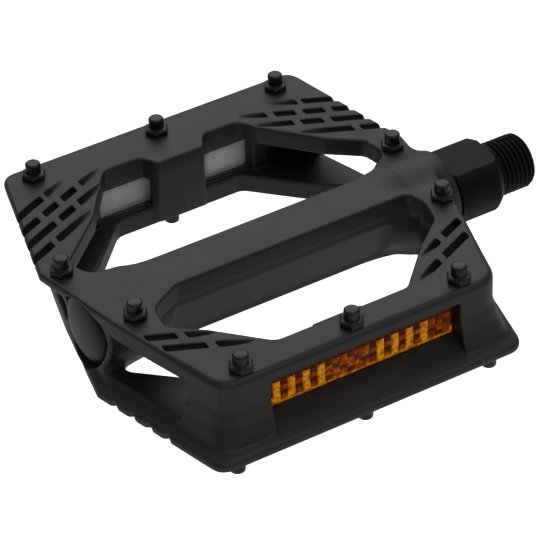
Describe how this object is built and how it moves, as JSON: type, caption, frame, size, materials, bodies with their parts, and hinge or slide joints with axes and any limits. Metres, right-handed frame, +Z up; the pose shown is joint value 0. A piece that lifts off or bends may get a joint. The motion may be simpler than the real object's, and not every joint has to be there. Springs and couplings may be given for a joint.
{
  "type": "flat pedal",
  "caption": "Bicycle platform pedal: nylon cage with open windows, lattice grip slots, hex-collared traction pins, amber reflectors and a threaded spindle on two ball bearings.",
  "frame": {"origin": "centre of the bounding box, which lies on the spindle axis", "axes": "+X along the spindle from the platform towards the crank arm, +Z up through the tread, +Y completes a right-handed set"},
  "size_m": [0.128, 0.105, 0.0284],
  "materials": {
    "nylon": "matt black glass-filled nylon, as moulded",
    "black_steel": "black oxide on turned steel",
    "pin_steel": "satin black",
    "bearing_steel": "ground and greased",
    "rubber": "matt black",
    "cap_plastic": "satin black",
    "amber_lens": "clear amber, prismatic behind a smooth face",
    "reflector_grey": "satin light grey"
  },
  "bodies": {
    "spindle_set": {"spindle": "black_steel", "outboard_cone": "bearing_steel", "lock_washer": "bearing_steel", "lock_nut": "black_steel"},
    "platform": {"pedal_body": "nylon", "inboard_cup": "bearing_steel", "outboard_cup": "bearing_steel", "inboard_seal": "rubber", "dust_cap": "cap_plastic", "rear_reflector_lens": "amber_lens", "rear_reflector_back": "reflector_grey", "front_reflector_lens": "amber_lens", "front_reflector_back": "reflector_grey", "pin_top_01": "pin_steel", "pin_bottom_01": "pin_steel", "pin_top_02": "pin_steel", "pin_bottom_02": "pin_steel", "pin_top_03": "pin_steel", "pin_bottom_03": "pin_steel", "pin_top_04": "pin_steel", "pin_bottom_04": "pin_steel", "pin_top_05": "pin_steel", "pin_bottom_05": "pin_steel", "pin_top_06": "pin_steel", "pin_bottom_06": "pin_steel", "pin_top_07": "pin_steel", "pin_bottom_07": "pin_steel", "pin_top_08": "pin_steel", "pin_bottom_08": "pin_steel", "pin_top_09": "pin_steel", "pin_bottom_09": "pin_steel", "pin_top_10": "pin_steel", "pin_bottom_10": "pin_steel"},
    "inboard_balls": {"inboard_ball_ring": "bearing_steel"},
    "outboard_balls": {"outboard_ball_ring": "bearing_steel"}
  },
  "joints": [
    {"name": "platform_spin", "type": "hinge", "parent": "spindle_set", "child": "platform", "pos_m": [0, 0, 0], "axis": [1, 0, 0], "continuous": true},
    {"name": "inboard_balls_spin", "type": "hinge", "parent": "spindle_set", "child": "inboard_balls", "pos_m": [0, 0, 0], "axis": [1, 0, 0], "continuous": true},
    {"name": "outboard_balls_spin", "type": "hinge", "parent": "spindle_set", "child": "outboard_balls", "pos_m": [0, 0, 0], "axis": [1, 0, 0], "continuous": true}
  ],
  "couplings": [
    {"joint": "inboard_balls_spin", "follows": "platform_spin", "ratio": 0.589},
    {"joint": "outboard_balls_spin", "follows": "platform_spin", "ratio": 0.595}
  ]
}
